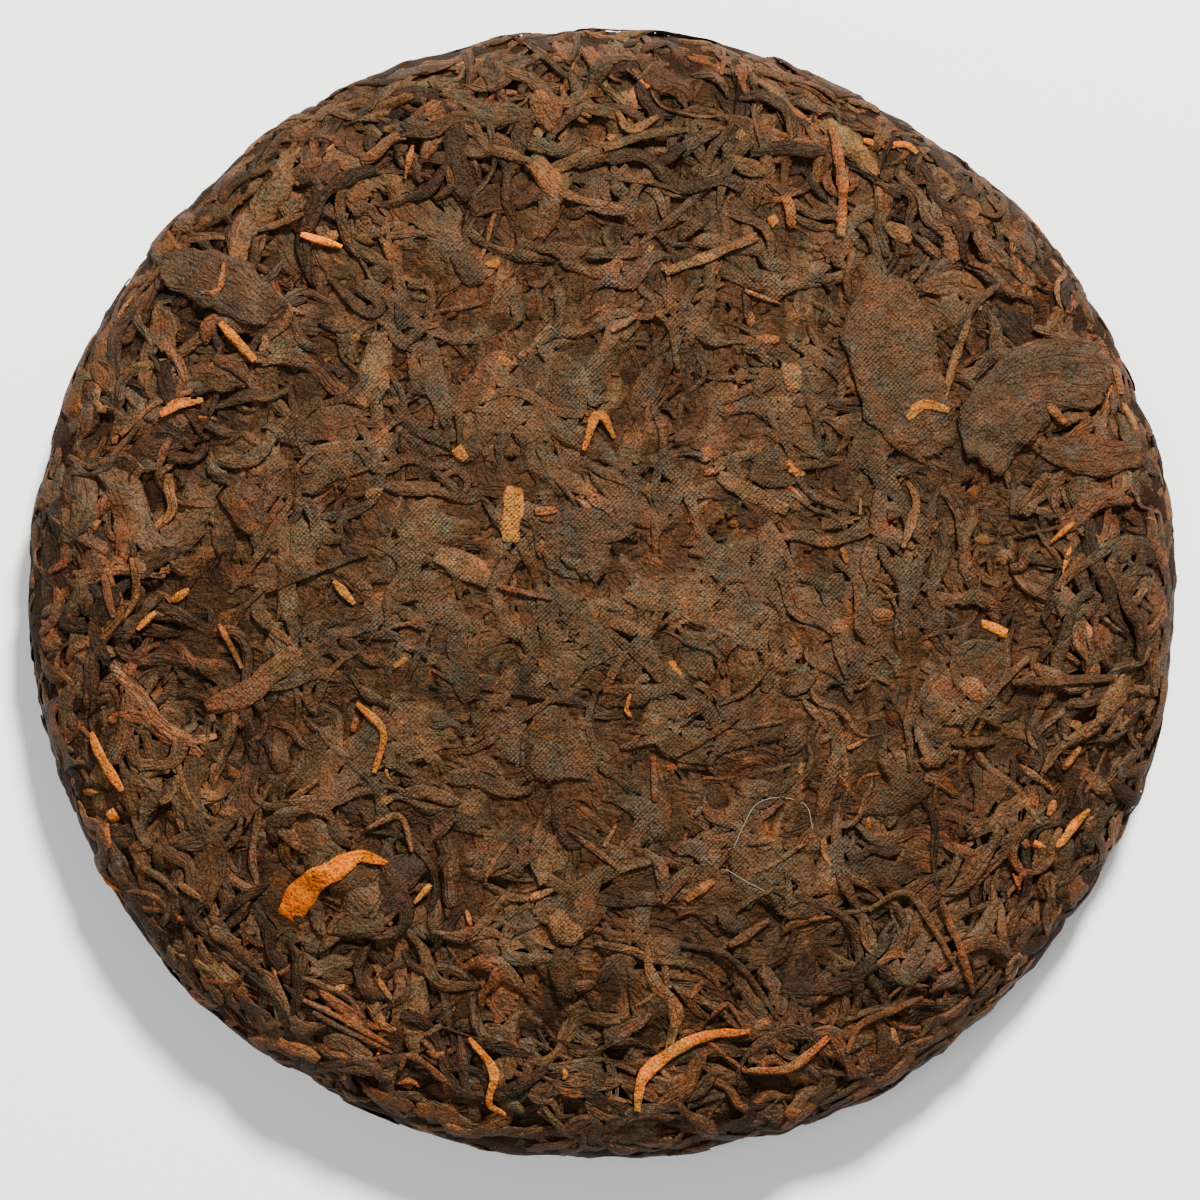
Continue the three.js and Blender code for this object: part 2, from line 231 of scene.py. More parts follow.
# --- Laying leaves
class Bed:
    """One face of the cake unrolled flat, with the heights of what lies on it."""

    def __init__(self, under):
        self.under = under
        self.count = int(2 * REACH / CELL)
        place = (np.arange(self.count) + 0.5) * CELL - REACH
        self.u, self.v = np.meshgrid(place, place, indexing="ij")
        self.height = BED_RELIEF * crumple(self.u, self.v, BED_LUMP)
        self.leaves = []

    def index(self, u, v):
        """The cells at these places."""
        iu = np.clip(((u + REACH) / CELL).astype(int), 0, self.count - 1)
        iv = np.clip(((v + REACH) / CELL).astype(int), 0, self.count - 1)
        return iu, iv

    def at(self, u, v):
        """The heights at these places."""
        return self.height[self.index(u, v)]

    def stamp(self, u, v, top):
        """Raises the bed to a patch of heights given at rows and columns of places."""
        along = max(2, int(np.hypot(np.diff(u[:, 0]), np.diff(v[:, 0])).sum() / STAMP_STEP))
        widest = np.hypot(np.diff(u, axis=1), np.diff(v, axis=1)).sum(1).max()
        across = max(2, int(widest / STAMP_STEP))
        rows = stretch_matrix(len(u), along)
        columns = stretch_matrix(u.shape[1], across).T
        fu, fv, ft = (rows @ grid @ columns for grid in (u, v, top))
        iu, iv = self.index(fu, fv)
        np.maximum.at(self.height, (iu.ravel(), iv.ravel()), ft.ravel())


def stretch_matrix(count, wanted):
    """Turns `count` values into `wanted` values evenly between them."""
    place = np.linspace(0, count - 1, wanted)
    low = np.minimum(place.astype(int), count - 2)
    matrix = np.zeros((wanted, count))
    matrix[np.arange(wanted), low] = 1 - (place - low)
    matrix[np.arange(wanted), low + 1] = place - low
    return matrix


def smoothed(values, times):
    """Each row averaged with its neighbours along the leaf, a few times."""
    for _ in range(times):
        padded = np.pad(values, [(1, 1)] + [(0, 0)] * (values.ndim - 1), "edge")
        values = (padded[:-2] + 2 * padded[1:-1] + padded[2:]) / 4
    return values


def bent_line(u, v, heading, length, bend, wiggle, count):
    """A leaf's centre line about its middle."""
    along = np.linspace(-0.5, 0.5, count)
    phase = rng.uniform(0, 2 * math.pi)
    turn = heading + bend * along + wiggle * np.sin(2 * math.pi * along * rng.uniform(0.8, 1.8) + phase)
    step = length / (count - 1)
    du = np.concatenate([[0], np.cumsum((np.cos(turn[1:]) + np.cos(turn[:-1])) / 2 * step)])
    dv = np.concatenate([[0], np.cumsum((np.sin(turn[1:]) + np.sin(turn[:-1])) / 2 * step)])
    middle = count // 2
    return np.stack([u + du - du[middle], v + dv - dv[middle]], -1)


def through(points, count):
    """A smooth line through points, with `count` even places on it."""
    p = np.asarray(points, float)
    if len(p) == 2:
        return p[0] + (p[1] - p[0]) * np.linspace(0, 1, count)[:, None]
    padded = np.concatenate([[2 * p[0] - p[1]], p, [2 * p[-1] - p[-2]]])
    fine = []
    for i in range(len(p) - 1):
        a, b, c, d = padded[i : i + 4]
        t = np.linspace(0, 1, LINE_STEPS, endpoint=False)[:, None]
        bend, twist = 2 * a - 5 * b + 4 * c - d, 3 * b - a - 3 * c + d
        fine.append(0.5 * (2 * b + (c - a) * t + bend * t**2 + twist * t**3))
    fine = np.concatenate(fine + [p[-1:]])
    at = steps_along(fine)
    even = np.linspace(0, at[-1], count)
    return np.stack([np.interp(even, at, fine[:, k]) for k in (0, 1)], -1)


def side_of(line):
    """The direction to the left at each place of a line."""
    run = np.gradient(line, axis=0)
    run /= np.maximum(np.hypot(*run.T), 1e-9)[:, None]
    return np.stack([-run[:, 1], run[:, 0]], -1)


def steps_along(line):
    """How far along a line each of its places lies."""
    return np.concatenate([[0], np.cumsum(np.hypot(*np.diff(line, axis=0).T))])


def line_length(line):
    return np.hypot(*np.diff(line, axis=0).T).sum()


def looseness(distance, angle, under):
    """0 where the cloth pressed the leaves flat, 1 where they kept their shape."""
    if under:
        return smooth_step(distance, FOOT_PRESSED_TO, FOOT_LOOSE_FROM)
    away = distance - PRESSED_OFF * np.cos(angle - PRESSED_TOWARDS)
    return smooth_step(away, FACE_PRESSED_TO, FACE_LOOSE_FROM)


def keep(bed, kind, tint, u, v, height, along, across, closed, shade, own, lift):
    """Adds a leaf's grid of places to the bed's list, with their coordinates on the leaf."""
    apart = rng.uniform(0, LEAVES_APART)
    lay = np.stack([np.broadcast_to(along[:, None], u.shape), across, np.full(u.shape, apart)], -1)
    bed.leaves.append(
        SimpleNamespace(
            kind=kind, tint=np.asarray(tint, float), u=u, v=v, height=height,
            lay=lay, closed=closed, shade=shade, own=own, lift=lift,
        )
    )


def spaced(line, margin):
    """The line with its second and last but one places `margin` from its ends."""
    at = steps_along(line)
    wanted = np.concatenate([[0], np.linspace(margin, at[-1] - margin, len(line)), [at[-1]]])
    return np.stack([np.interp(wanted, at, line[:, k]) for k in (0, 1)], -1), wanted / at[-1]


def lay_broad(
    bed, line, width, tint, kind="broad", thick=0.3, blunt=0.6, folds=None, own=0.4, drop=0.6,
    whole=False, narrow=0.0, lift=0.0,
):
    """A flat leaf, or a piece of one, creased lengthwise and with its edges turned down."""
    length = line_length(line)
    line, along = spaced(line, min(0.25, 0.15 * length))
    side = side_of(line)
    bevel = min(0.3, 0.44 / width)
    inner = max(4, int(width) + 2)
    across = np.concatenate([[-1], np.linspace(bevel - 1, 1 - bevel, inner), [1]])
    ragged = min(0.14, 0.9 / width) if whole else 0.22
    left = np.maximum(1 + ragged * crumple(line[:, 0] + 300, line[:, 1], RAGGED_LUMP), NARROWEST)
    right = np.maximum(1 + ragged * crumple(line[:, 0], line[:, 1] + 300, RAGGED_LUMP), NARROWEST)
    half = width / 2 * np.sin(math.pi * (0.04 + 0.92 * along)) ** blunt * (1 - narrow * along)
    sway = 0 if whole else (SWAY * width * crumple(line[:, 0] + 90, line[:, 1] + 200, 5.0))[:, None]
    edges = np.where(across[None] < 0, left[:, None], right[:, None])
    reach = across[None] * (half[:, None] * edges) + sway
    # the ends are torn at a slant
    slant, tear = (0.1, 0.05) if whole else (0.3, 0.16)
    torn = [rng.normal(0, slant) * across + rng.normal(0, tear, len(across)) for _ in range(2)]
    slip = width / 2 * (torn[0][None] * (1 - along[:, None]) ** 4 + torn[1][None] * along[:, None] ** 4)
    u = line[:, :1] + side[:, :1] * reach + side[:, 1:] * slip
    v = line[:, 1:] + side[:, 1:] * reach - side[:, :1] * slip
    under = bed.at(u, v)
    base = smoothed(smoothed(under, 2).T, 1).T
    crest = smoothed(under.max(1), 2)[:, None]
    base = crest if whole else 0.6 * base + 0.4 * crest
    arch = ARCH * (1 - np.abs(across) ** 3)[None]
    height = base + thick + arch + LEAF_RELIEF * crumple(u, v, LEAF_LUMP)
    fold_count = int(rng.integers(1, 4)) if folds is None else folds
    for _ in range(fold_count):
        where = rng.uniform(-0.7, 0.7) + 0.25 * (along - 0.5) * rng.uniform(-1, 1)
        sharp = rng.uniform(0.12, 0.22)
        ridge = np.exp(-(((across[None] - where[:, None]) / sharp) ** 2))
        height = height + rng.choice(FOLD_HEIGHTS) * ridge * np.sin(math.pi * along)[:, None]
    edge = np.zeros_like(height)
    edge[:, [0, -1]] = 1
    edge[[0, -1]] = 1
    stamped = np.s_[1:-1, 1:-1]
    bed.stamp(u[stamped], v[stamped], height[stamped])
    height = height - edge * drop
    # painted shade: the turned-down edges are darkened as if in the shade under them
    shade = 1 - min(0.5, drop) * edge
    own = own * (1 - 0.5 * edge)
    keep(bed, kind, tint, u, v, height, along * length, reach, False, shade, own, lift * (1 - edge))


def lay_rolled(
    bed, line, width, tint, kind="rolled", flat=0.75, twist=1.0, taper=0.7, groove=0.35, blunt=0.0,
    own=0.35, whole=False, lift=0.0,
):
    """A leaf rolled or twisted along its length, with a groove winding round it."""
    count = len(line)
    side = side_of(line)
    along = np.linspace(0, 1, count)
    around = 8 if width < 1.5 else 10
    angle = 2 * math.pi * (np.arange(around) + 0.5) / around
    fullness = np.sin(math.pi * (0.02 + 0.96 * along)) ** taper
    lump, swell = (1.6, 0.1) if whole else (2.5, 0.14)
    fullness = np.maximum(fullness, blunt) * (1 + swell * crumple(line[:, 0], line[:, 1], lump))
    turn = (twist * 2 * math.pi * along * line_length(line) / TURN_LENGTH + rng.uniform(0, 7))[:, None]
    lobes = 1 + 0.13 * np.cos(2 * (angle[None] - turn)) + 0.1 * np.cos(3 * angle[None] - turn)
    for k in range(2):
        away = np.angle(np.exp(1j * (angle[None] - turn - k * GROOVE_APART)))
        lobes = lobes - groove * np.exp(-((away / GROOVE_WIDTH) ** 2))
    half = width / 2 * fullness
    reach = half[:, None] * np.cos(angle)[None] * lobes
    rise = half[:, None] * flat * np.sin(angle)[None] * lobes
    u = line[:, :1] + side[:, :1] * reach
    v = line[:, 1:] + side[:, 1:] * reach
    spread = np.array([-0.6, 0.0, 0.6])
    under_u = line[:, :1] + side[:, :1] * half[:, None] * spread
    under_v = line[:, 1:] + side[:, 1:] * half[:, None] * spread
    base = bed.at(under_u, under_v)
    base = smoothed(base.max(1) if whole else base.mean(1), 3)
    middle = (base + half * flat * 0.55)[:, None]
    height = middle + rise + 0.05 * crumple(u, v, 1.5)
    fan = np.linspace(-1, 1, 7)
    stamp_u = line[:, :1] + side[:, :1] * half[:, None] * fan
    stamp_v = line[:, 1:] + side[:, 1:] * half[:, None] * fan
    roundness = np.sqrt(np.maximum(1 - fan**2, 0))
    bed.stamp(stamp_u, stamp_v, middle + half[:, None] * flat * roundness * 0.95)
    unrolled = angle[None] * half[:, None] * 1.3
    # painted shade: darker where the grooves sink into the rolled leaf
    shade = 0.62 + 0.38 * smooth_step(lobes, 0.6, 1.0)
    own = np.full(u.shape, own)
    keep(bed, kind, tint, u, v, height, along * line_length(line), unrolled, True, shade, own, lift)


# --- Colours of the leaves, as their share of each light they throw back
BLACK_BROWN = (0.0175, 0.0082, 0.0029)
DARK_BROWN = (0.0320, 0.0156, 0.0060)
GREY_BROWN = (0.0440, 0.0240, 0.0110)
BROWN = (0.0560, 0.0266, 0.0105)
WARM_BROWN = (0.0620, 0.0268, 0.0089)
RED_BROWN = (0.0740, 0.0284, 0.0100)
OLIVE = (0.0800, 0.0409, 0.0151)
TAN = (0.1060, 0.0450, 0.0158)
RUST = (0.1420, 0.0502, 0.0146)
AMBER = (0.2400, 0.0740, 0.0110)
GOLD = (0.4700, 0.1200, 0.0055)


STAINS = [
    (OLIVE, 3.0, 1.1, 2.8, 0.4, 40), (RUST, 1.7, 1.5, 2.5, 0.85, 80),
]  # (colour, width of its spots, noise where they start and where they are full, most, shift)


def shared_tint(u, v):
    """The mottled colour, as logarithms, that leaves share where they were pressed into one."""
    dark, light = np.log(DARK_BROWN), np.log(BROWN)
    mix = smooth_step(0.5 + 0.24 * crumple(u + 11, v, 5.0))[:, None]
    tone = dark + (light - dark) * mix
    for colour, lump, low, high, most, shift in STAINS:
        amount = most * smooth_step(crumple(u + shift, v - shift, lump), low, high)[:, None]
        tone = tone + (np.log(colour) - tone) * amount
    return tone


def pick_tint(choices):
    """One of the colours, by their weights, made a little lighter or darker."""
    names, weights = zip(*choices)
    weights = np.array(weights) / sum(weights)
    tint = np.array(names[rng.choice(len(names), p=weights)])
    return tint * rng.uniform(0.85, 1.15) * rng.uniform(0.95, 1.05, 3)


BROAD_TINTS = [
    (BLACK_BROWN, 12), (DARK_BROWN, 30), (GREY_BROWN, 26), (BROWN, 22), (WARM_BROWN, 10), (OLIVE, 4),
    (TAN, 1),
]
ROLLED_TINTS = [
    (BLACK_BROWN, 14), (DARK_BROWN, 28), (GREY_BROWN, 20), (BROWN, 22), (WARM_BROWN, 12),
    (RED_BROWN, 8), (TAN, 2),
]
CHIP_TINTS = [
    (BLACK_BROWN, 12), (DARK_BROWN, 24), (GREY_BROWN, 16), (BROWN, 22), (WARM_BROWN, 13), (OLIVE, 5),
    (TAN, 6), (RUST, 7), (AMBER, 1.6),
]
STEM_TINTS = [
    (BROWN, 24), (DARK_BROWN, 26), (RED_BROWN, 18), (WARM_BROWN, 14), (RUST, 6), (TAN, 7), (OLIVE, 5),
]
BUD_TINTS = [(RUST, 60), (TAN, 20), (AMBER, 20)]


EDGE_DROPS, EDGE_SHARES = [0.12, 0.3, 0.65], [0.4, 0.35, 0.25]


def random_place(low, high):
    """A place spread evenly over a ring of the face, with the direction out from its middle."""
    distance = math.sqrt(rng.uniform(low**2, high**2))
    angle = rng.uniform(0, 2 * math.pi)
    return distance * math.cos(angle), distance * math.sin(angle), angle, distance


def random_heading(u, v, angle, distance):
    """Mostly along its neighbours in the middle, and along the rim near it."""
    if rng.uniform() < smooth_step(distance, 70, 104) * 0.85:
        return angle + math.pi / 2 + 0.35 * float(crumple(u, v, 16.0)) + rng.normal(0, 0.35)
    if rng.uniform() < 0.6:
        return 2.2 * float(crumple(u + 70, v, 26.0)) + rng.normal(0, 0.5)
    return rng.uniform(0, math.pi * 2)


def random_edge():
    """How far a leaf's edges turn down: most were pressed into their neighbours."""
    return rng.choice(EDGE_DROPS, p=EDGE_SHARES)


def one_plate(bed, low, high):
    """A large leaf that the cloth pressed flat."""
    u, v, angle, distance = random_place(low, high)
    if crumple(u, v + 500, 13.0) > 0.95:
        return
    size = rng.uniform(9, 26)
    heading = random_heading(u, v, angle, distance)
    count = max(8, int(size / 1.25))
    line = bent_line(u, v, heading, size, rng.normal(0, 0.5), rng.uniform(0, 0.4), count)
    width = min(rng.uniform(5, 13), size * 0.7)
    lay_broad(
        bed, line, width, pick_tint(BROAD_TINTS), thick=rng.uniform(0.15, 0.35),
        blunt=rng.uniform(0.2, 0.5), folds=int(rng.integers(2, 5)), own=0.3, drop=random_edge(),
    )


def one_broad(bed, low, high):
    """A flat leaf or a piece of one."""
    u, v, angle, distance = random_place(low, high)
    size = rng.uniform(5, 18)
    heading = random_heading(u, v, angle, distance)
    count = max(6, int(size / 1.15))
    line = bent_line(u, v, heading, size, rng.normal(0, 0.7), rng.uniform(0, 0.4), count)
    width = min(rng.uniform(2.2, 5.5), size * 0.5)
    lay_broad(
        bed, line, width, pick_tint(BROAD_TINTS), thick=rng.uniform(0.2, 0.42),
        blunt=rng.uniform(0.2, 0.6), drop=random_edge() + 0.3 * (distance > 80),
    )


def one_rolled(bed, low, high):
    """A leaf rolled up on itself, mostly short, seldom long."""
    u, v, angle, distance = random_place(low, high)
    size = 6 + 22 * rng.uniform() ** 1.5
    heading = random_heading(u, v, angle, distance)
    count = max(7, int(size / 1.05))
    line = bent_line(u, v, heading, size, rng.normal(0, 1.2), rng.uniform(0, 0.7), count)
    lay_rolled(
        bed, line, rng.uniform(1.1, 3.5), pick_tint(ROLLED_TINTS), twist=rng.uniform(-1.6, 1.6),
        taper=rng.uniform(0.15, 0.55), flat=rng.uniform(0.5, 0.85),
    )


def one_chip(bed, low, high):
    """A crumb of leaf."""
    u, v = random_place(low, high)[:2]
    size = rng.uniform(1.3, 4.2)
    line = bent_line(u, v, rng.uniform(0, 7), size, rng.normal(0, 0.6), 0.2, 4)
    width = min(rng.uniform(0.8, 2.4), size * 0.8)
    lay_broad(
        bed, line, width, pick_tint(CHIP_TINTS), kind="chip", thick=0.2, blunt=0.3, folds=0, own=0.7,
        drop=0.4,
    )


def one_stem(bed, low, high):
    """A thin, nearly straight stalk."""
    u, v, angle, distance = random_place(low, high)
    size = rng.uniform(5, 17)
    heading = random_heading(u, v, angle, distance)
    count = max(6, int(size / 1.2))
    line = bent_line(u, v, heading, size, rng.normal(0, 0.5), rng.uniform(0, 0.2), count)
    lay_rolled(
        bed, line, rng.uniform(0.8, 1.5), pick_tint(STEM_TINTS), kind="stem", twist=0.15, taper=0.12,
        groove=0.12, flat=0.85, blunt=0.6,
    )


def one_bud(bed, low, high):
    """A small pale bud."""
    u, v = random_place(low, high)[:2]
    size = rng.uniform(2.5, 6.5)
    count = max(6, int(size / 0.8))
    line = bent_line(u, v, rng.uniform(0, 7), size, rng.normal(0, 1.1), 0.15, count)
    lay_rolled(
        bed, line, rng.uniform(0.7, 1.5), pick_tint(BUD_TINTS), kind="bud", twist=0.3, taper=0.5,
        groove=0.2, flat=0.7, own=0.7,
    )


STAGES = [
    [
        (one_broad, 0, 86, 800), (one_rolled, 0, 84, 620), (one_chip, 0, 86, 700),
        (one_broad, 80, 120, 900), (one_rolled, 76, 120.5, 1500),
    ],
    [(one_plate, 0, 92, 620), (one_broad, 84, 120, 350)],
    [
        (one_broad, 0, 86, 200), (one_broad, 84, 120, 260), (one_rolled, 0, 50, 110),
        (one_rolled, 45, 92, 520), (one_rolled, 78, 120.5, 1000), (one_chip, 0, 86, 380),
        (one_chip, 86, 119, 340), (one_stem, 0, 118, 110), (one_bud, 0, 118, 45),
    ],
]  # (leaf, nearest to the middle and farthest from it, how many)


def lay_by_rule(bed, amount):
    """Fills a bed: a mixed heap, then large flat leaves, then smaller ones on top."""
    for stage in STAGES:
        work = []
        for maker, low, high, count in stage:
            work += [(maker, low, high)] * int(count * amount)
        for i in rng.permutation(len(work)):
            maker, low, high = work[i]
            maker(bed, low, high)


# --- Leaves that stand out in the photograph: colour, width, shape of the ends, and places of the
# centre line seen from above
SHOWN_BROAD = [
    (AMBER, 3.8, 0.15, [(-15, 19), (-15.3, 14.5), (-15.8, 9.2)]),
    (TAN, 5.0, 0.4, [(-29, 7.2), (-24, 5.2), (-19.5, 2.6)]),
    (TAN, 3.1, 0.25, [(20.3, 20.8), (26, 18), (32.5, 14.6)]),
    (RED_BROWN, 4.6, 0.4, [(-69.5, -19.5), (-63, -17.5), (-56.5, -12.5), (-52.6, -9)]),
    (OLIVE, 4.2, 0.5, [(-53, 13), (-51.5, 6), (-48, 1.5)]),
    (TAN, 4.4, 0.3, [(-8.4, -55.2), (-4.2, -60.6)]),
    (DARK_BROWN, 4.6, 0.3, [(-7, -61.5), (-6.2, -70.5)]),
    (RUST, 3.6, 0.25, [(33, 40.5), (33.6, 35.5)]),
    (RED_BROWN, 4.4, 0.4, [(-11.8, 88), (-9, 83.5), (-8.4, 81.2)]),
    (TAN, 4.6, 0.4, [(-11.5, 76.2), (-7.5, 70)]),
    (GREY_BROWN, 10.5, 0.45, [(-77, 58), (-67, 55), (-57, 49)]),
    (BROWN, 15.5, 0.4, [(49.5, 56), (50.2, 45), (53.4, 34), (59.5, 25)]),
    (GREY_BROWN, 14.5, 0.4, [(66.5, 22.5), (69.3, 31), (76.5, 37.5), (88, 37)]),
    (BROWN, 7.0, 0.5, [(76.5, 25.5), (86, 24), (94.5, 24.5)]),
    (GOLD, 2.2, 0.2, [(66.3, -4.9), (71, -6.6)]),
    (TAN, 3.8, 0.4, [(62.8, -14.8), (67, -18)]),
    (WARM_BROWN, 3.6, 0.3, [(-66.5, 17.8), (-60.3, 11)]),
    (OLIVE, 2.6, 0.3, [(10.5, -52.8), (15.8, -47.9)]),
    (TAN, 3.0, 0.4, [(49.8, 65), (54, 61.8)]),
    (BROWN, 4.8, 0.4, [(-25.8, 59.5), (-22.5, 56), (-21.5, 54)]),
    (RUST, 2.8, 0.3, [(-56.6, -77.8), (-52, -80), (-49.6, -81.6)]),
    (AMBER, 2.2, 0.3, [(-86.5, -37.5), (-85.5, -39.8)]),
    (AMBER, 2.2, 0.2, [(-25.5, 25.8), (-23.7, 23.5)]),
    (RUST, 2.6, 0.3, [(32, 70), (33.5, 64)]),
]
LARGE_WIDTH, LARGE_SHADE = 6, 0.73
GOLDEN_TINT = (0.3100, 0.0710, 0.0002)
GOLDEN_WIDTH = 6.2
GOLDEN_LEAF = [(-55.4, -56.6), (-51.4, -51.4), (-47, -47.8), (-42.4, -45.5), (-37.6, -46.8)]
SHOWN_ROLLED = [
    (AMBER, 2.4, 0.35, [(6.2, -89.6), (7.2, -84.3), (12.4, -79.6), (18.2, -77), (25.8, -75.9)]),
    (AMBER, 1.8, 0.3, [(-83.5, -34), (-87, -28.5), (-89.6, -24)]),
    (AMBER, 1.9, 0.2, [(-66.5, 47.6), (-63.6, 44.4), (-60.4, 40.9)]),
    (RUST, 1.2, 0.3, [(-65.8, 58), (-66.8, 53.2), (-69.8, 52.8)]),
    (GOLD, 1.5, 0.4, [(-52.5, 63), (-45.4, 60.9)]),
    (RUST, 1.1, 0.4, [(-33, 78.7), (-34.4, 72.8)]),
    (OLIVE, 1.5, 0.3, [(-60, 63.8), (-52, 66.6)]),
    (DARK_BROWN, 2.2, 0.4, [(-47.7, 55.4), (-41, 49.2), (-38.2, 50.6), (-42.8, 53.7)]),
    (OLIVE, 2.0, 0.4, [(0.4, 77.8), (8, 80.4), (15.1, 81.3)]),
    (TAN, 1.9, 0.4, [(2.7, 84.5), (5, 81.3), (9.9, 83.6)]),
    (TAN, 2.1, 0.15, [(11.1, 56.4), (19, 59.3), (27.2, 62.6)]),
    (OLIVE, 1.3, 0.15, [(9.3, 49.2), (12, 46.6), (13.4, 39.4)]),
    (TAN, 1.3, 0.4, [(1.8, 46), (6.2, 48.8)]),
    (RUST, 1.0, 0.2, [(24.9, 53.2), (31.2, 50.9)]),
    (RUST, 2.0, 0.12, [(40.1, 82.2), (41.4, 76), (42.2, 71), (41.8, 62.6)]),
    (AMBER, 1.4, 0.2, [(45.9, 79.8), (52.5, 79.2), (55.1, 77.3)]),
    (TAN, 1.8, 0.3, [(64, 48), (61.5, 41), (59.7, 34.2)]),
    (TAN, 1.7, 0.2, [(90, 40.3), (91.3, 35.4)]),
    (AMBER, 1.8, 0.4, [(53.2, 30.7), (56, 33.3), (60.5, 32.2)]),
    (TAN, 1.7, 0.4, [(53.4, 19.8), (54.9, 16.2), (52.5, 8.3)]),
    (RUST, 2.0, 0.4, [(77.8, 33.3), (81, 30.1)]),
    (AMBER, 1.3, 0.3, [(78.4, 9.2), (82.4, 12.8)]),
    (RUST, 1.5, 0.3, [(81, -30.5), (83.8, -26.5)]),
    (WARM_BROWN, 2.4, 0.4, [(60.9, -25.6), (69, -25.6)]),
    (OLIVE, 2.2, 0.2, [(95.4, -25.6), (97.5, -18.7), (98.4, -13.9)]),
    (RUST, 1.4, 0.3, [(41.8, 8.3), (42.7, 5.7)]),
    (OLIVE, 1.7, 0.15, [(40.4, -7.3), (42.7, -14.4)]),
    (WARM_BROWN, 1.8, 0.15, [(71.7, -15.3), (89.6, -14.4)]),
    (TAN, 1.3, 0.3, [(72.9, -29.6), (78.9, -34)]),
    (AMBER, 2.0, 0.4, [(-77, 31.5), (-73.6, 33.4), (-69.5, 34)]),
    (RED_BROWN, 1.5, 0.3, [(-86.8, 3.7), (-85.1, -3.8)]),
    (AMBER, 1.5, 0.3, [(-75, -1), (-72, 1.1)]),
    (AMBER, 1.2, 0.3, [(-81, -6), (-77.9, -2.9)]),
    (RUST, 1.2, 0.3, [(-66.9, -5), (-65, -8.7), (-62.9, -12.7)]),
    (AMBER, 1.6, 0.3, [(-42.8, -18.8), (-38.6, -22.5), (-37.9, -25.1), (-39.6, -30.9)]),
    (BROWN, 1.4, 0.15, [(-58.3, 0.8), (-49, 4.6), (-40.5, 7.4)]),
    (AMBER, 1.6, 0.4, [(-46.8, 2.5), (-43.1, -1.5)]),
    (AMBER, 1.8, 0.4, [(-3.1, 25.2), (-0.5, 31.5), (2.2, 27.4)]),
    (RUST, 1.6, 0.3, [(-11.6, 14.6), (-7.6, 14.9)]),
    (AMBER, 1.0, 0.3, [(5, -17.1), (4.3, -19.9), (5.3, -21.1)]),
    (OLIVE, 1.4, 0.3, [(20.5, -19), (25.8, -16.2), (29.8, -10.4)]),
    (BROWN, 1.4, 0.2, [(12.8, -27.9), (24, -21.1)]),
    (RED_BROWN, 1.5, 0.15, [(9, -27.9), (9.3, -35.8)]),
    (RED_BROWN, 1.1, 0.3, [(-18.3, 1.6), (-13, 0.4), (-8.5, -0.6)]),
    (TAN, 1.4, 0.3, [(-41, -40.7), (-35.2, -38.4), (-33.1, -44.6)]),
    (TAN, 1.3, 0.2, [(-52, -70.5), (-44.5, -74.2), (-37.3, -78.6)]),
    (OLIVE, 1.2, 0.2, [(-50.4, -72.6), (-43, -76.6), (-36.6, -80)]),
    (OLIVE, 1.5, 0.3, [(-80.7, -47), (-77, -49.6), (-73.9, -52.2)]),
    (TAN, 1.5, 0.3, [(-73.9, -50.1), (-69.9, -52.7)]),
    (AMBER, 1.5, 0.35, [(-23.2, -77.2), (-18.8, -83), (-19.7, -88.4), (-16.9, -91.5)]),
    (RED_BROWN, 1.5, 0.3, [(-35.2, -83), (-33.5, -80.3), (-26.3, -85.2)]),
    (DARK_BROWN, 1.6, 0.2, [(13.9, -61.1), (22.8, -63.4), (30.8, -73.7)]),
    (RED_BROWN, 1.7, 0.4, [(10.7, -53.6), (15.6, -47.8)]),
    (RUST, 1.9, 0.4, [(14.8, -53.1), (19.6, -49.6)]),
    (RED_BROWN, 1.8, 0.4, [(22.3, -61.1), (29.4, -56.7)]),
    (AMBER, 1.3, 0.3, [(-32.6, -53.6), (-29.8, -50.4)]),
    (RUST, 1.3, 0.3, [(-12.5, -52.7), (-8.5, -51.3)]),
    (RUST, 0.9, 0.3, [(-23.7, -55), (-22.8, -57.6)]),
    (RED_BROWN, 1.1, 0.2, [(-5.3, -41.2), (2.7, -47.3)]),
    (TAN, 1.1, 0.3, [(0.4, -43.8), (2.7, -39.8)]),
    (RED_BROWN, 1.1, 0.3, [(18.2, -74.9), (21.9, -71.4), (24.5, -74.9)]),
    (RUST, 1.7, 0.25, [(25.9, -83), (32.9, -82.1), (39.6, -76.9)]),
    (OLIVE, 1.5, 0.3, [(46.7, -55), (53, -51.8), (57.9, -58.1), (61.4, -64.3)]),
    (RED_BROWN, 1.5, 0.15, [(59.2, -53.2), (62.3, -60.8), (64.9, -69.7)]),
    (RED_BROWN, 1.4, 0.2, [(42.7, -79.5), (45.9, -74.6), (56.5, -70.6)]),
    (AMBER, 1.6, 0.3, [(79.2, -43.8), (85, -37.2)]),
    (RUST, 1.4, 0.3, [(77.9, -38.4), (79.2, -35.8)]),
    (DARK_BROWN, 1.5, 0.3, [(65.4, -70.6), (70.3, -66)]),
    (RUST, 1.1, 0.3, [(72.1, -48.7), (73.1, -51.5)]),
    (BROWN, 1.4, 0.4, [(65.6, 71.6), (69.5, 71), (69.3, 66.4), (66, 67)]),
]
HAIRS = [
    [(23, -44), (24.7, -40.1), (27, -36.3), (31.2, -35.2), (35.6, -36.6), (36.8, -40.7)],
    [(21.7, -47.7), (24.9, -49.7), (28.4, -51.5)],
]


SHOWN_SHADES = {GOLD: 1.0, AMBER: 1.0, TAN: 0.87, RUST: 0.88, RED_BROWN: 0.85, DARK_BROWN: 0.85}
OTHER_SHADE = 0.6


def landmark_tint(tint):
    """The palette's middle colours are meant for leaves that blend with their neighbours."""
    return np.array(tint) * SHOWN_SHADES.get(tint, OTHER_SHADE)


